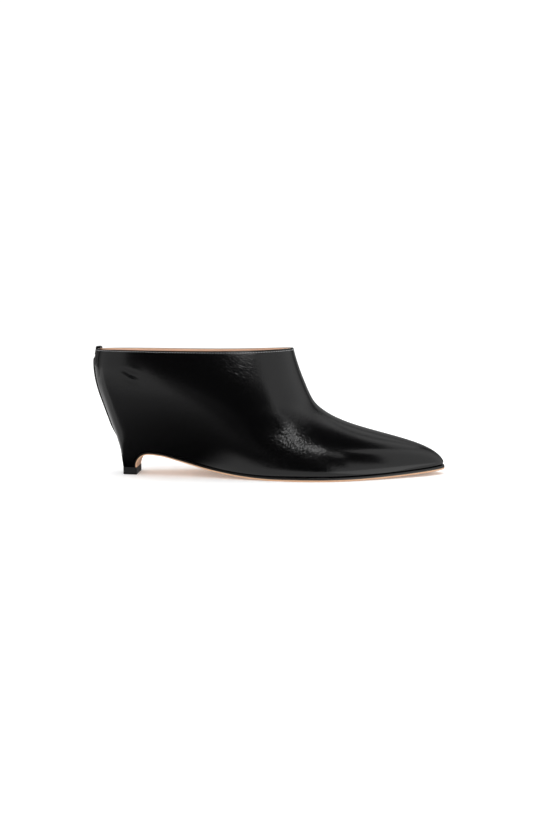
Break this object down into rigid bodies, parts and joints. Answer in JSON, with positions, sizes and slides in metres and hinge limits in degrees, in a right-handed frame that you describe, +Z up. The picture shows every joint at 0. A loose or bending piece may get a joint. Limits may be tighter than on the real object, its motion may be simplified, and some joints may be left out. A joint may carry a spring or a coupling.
{
  "type": "wedge slip-on shoe",
  "caption": "Right black leather slip-on with a pointed toe, a closed back, a high straight collar and a covered wedge heel.",
  "frame": {"origin": "centre of the top lift's face on the floor, under the heel", "axes": "+X from the heel towards the toe, +Z up from the floor, -Y towards the outer side of this right shoe"},
  "size_m": [0.2649, 0.0788, 0.0959],
  "materials": {
    "upper_leather": "smooth, polished",
    "sole_leather": "natural, matt, with a black painted edge",
    "wedge_core": "matt, hidden",
    "insole_leather": "soft, matt",
    "lift_rubber": "matt"
  },
  "bodies": {
    "root": {"upper": "upper_leather", "outsole": "sole_leather", "wedge": "wedge_core", "insole": "insole_leather", "top_lift": "lift_rubber", "back_tab": "upper_leather"}
  },
  "joints": []
}
